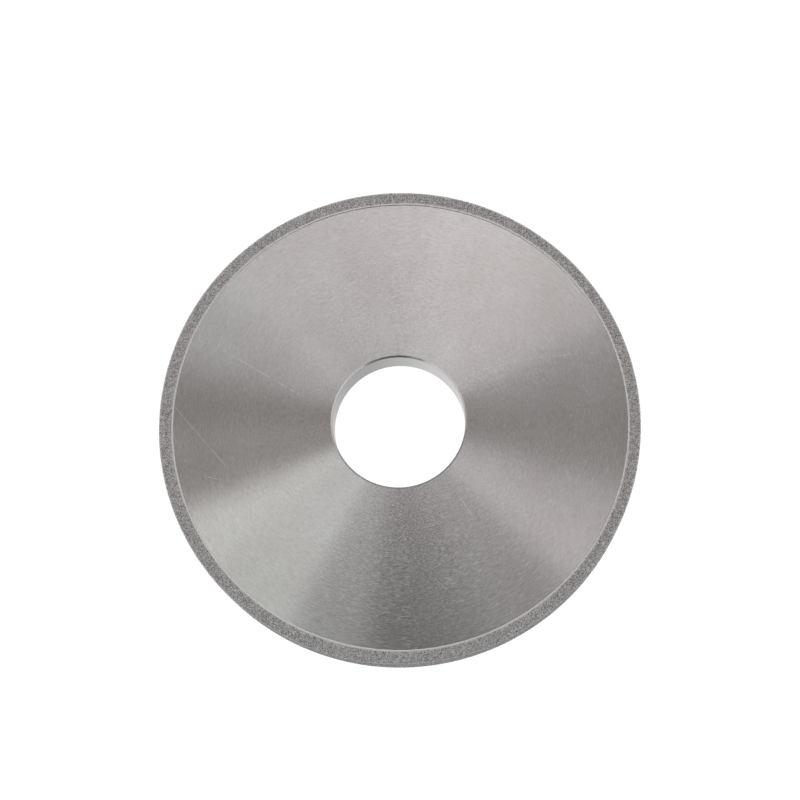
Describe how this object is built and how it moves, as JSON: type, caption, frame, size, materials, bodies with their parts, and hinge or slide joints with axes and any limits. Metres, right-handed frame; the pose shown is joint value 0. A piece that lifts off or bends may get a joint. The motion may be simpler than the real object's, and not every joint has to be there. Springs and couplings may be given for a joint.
{
  "type": "diamond grinding wheel",
  "caption": "Straight grinding wheel: bored steel disc whose rim is plated with nickel and diamond grit.",
  "frame": {"origin": "on the spin axis, in the plane of the top of the grit on the back face, which the wheel lies on", "axes": "+Z along the spin axis, from the back face to the front face; the wheel is round, so +X and +Y are free"},
  "size_m": [0.115, 0.115, 0.01],
  "materials": {
    "turned_steel": "satin",
    "plated_nickel": "satin",
    "diamond_grit": "matte"
  },
  "bodies": {
    "root": {"core": "turned_steel", "nickel_bond": "plated_nickel", "front_grit": "diamond_grit", "rim_grit": "diamond_grit", "back_grit": "diamond_grit"}
  },
  "joints": []
}
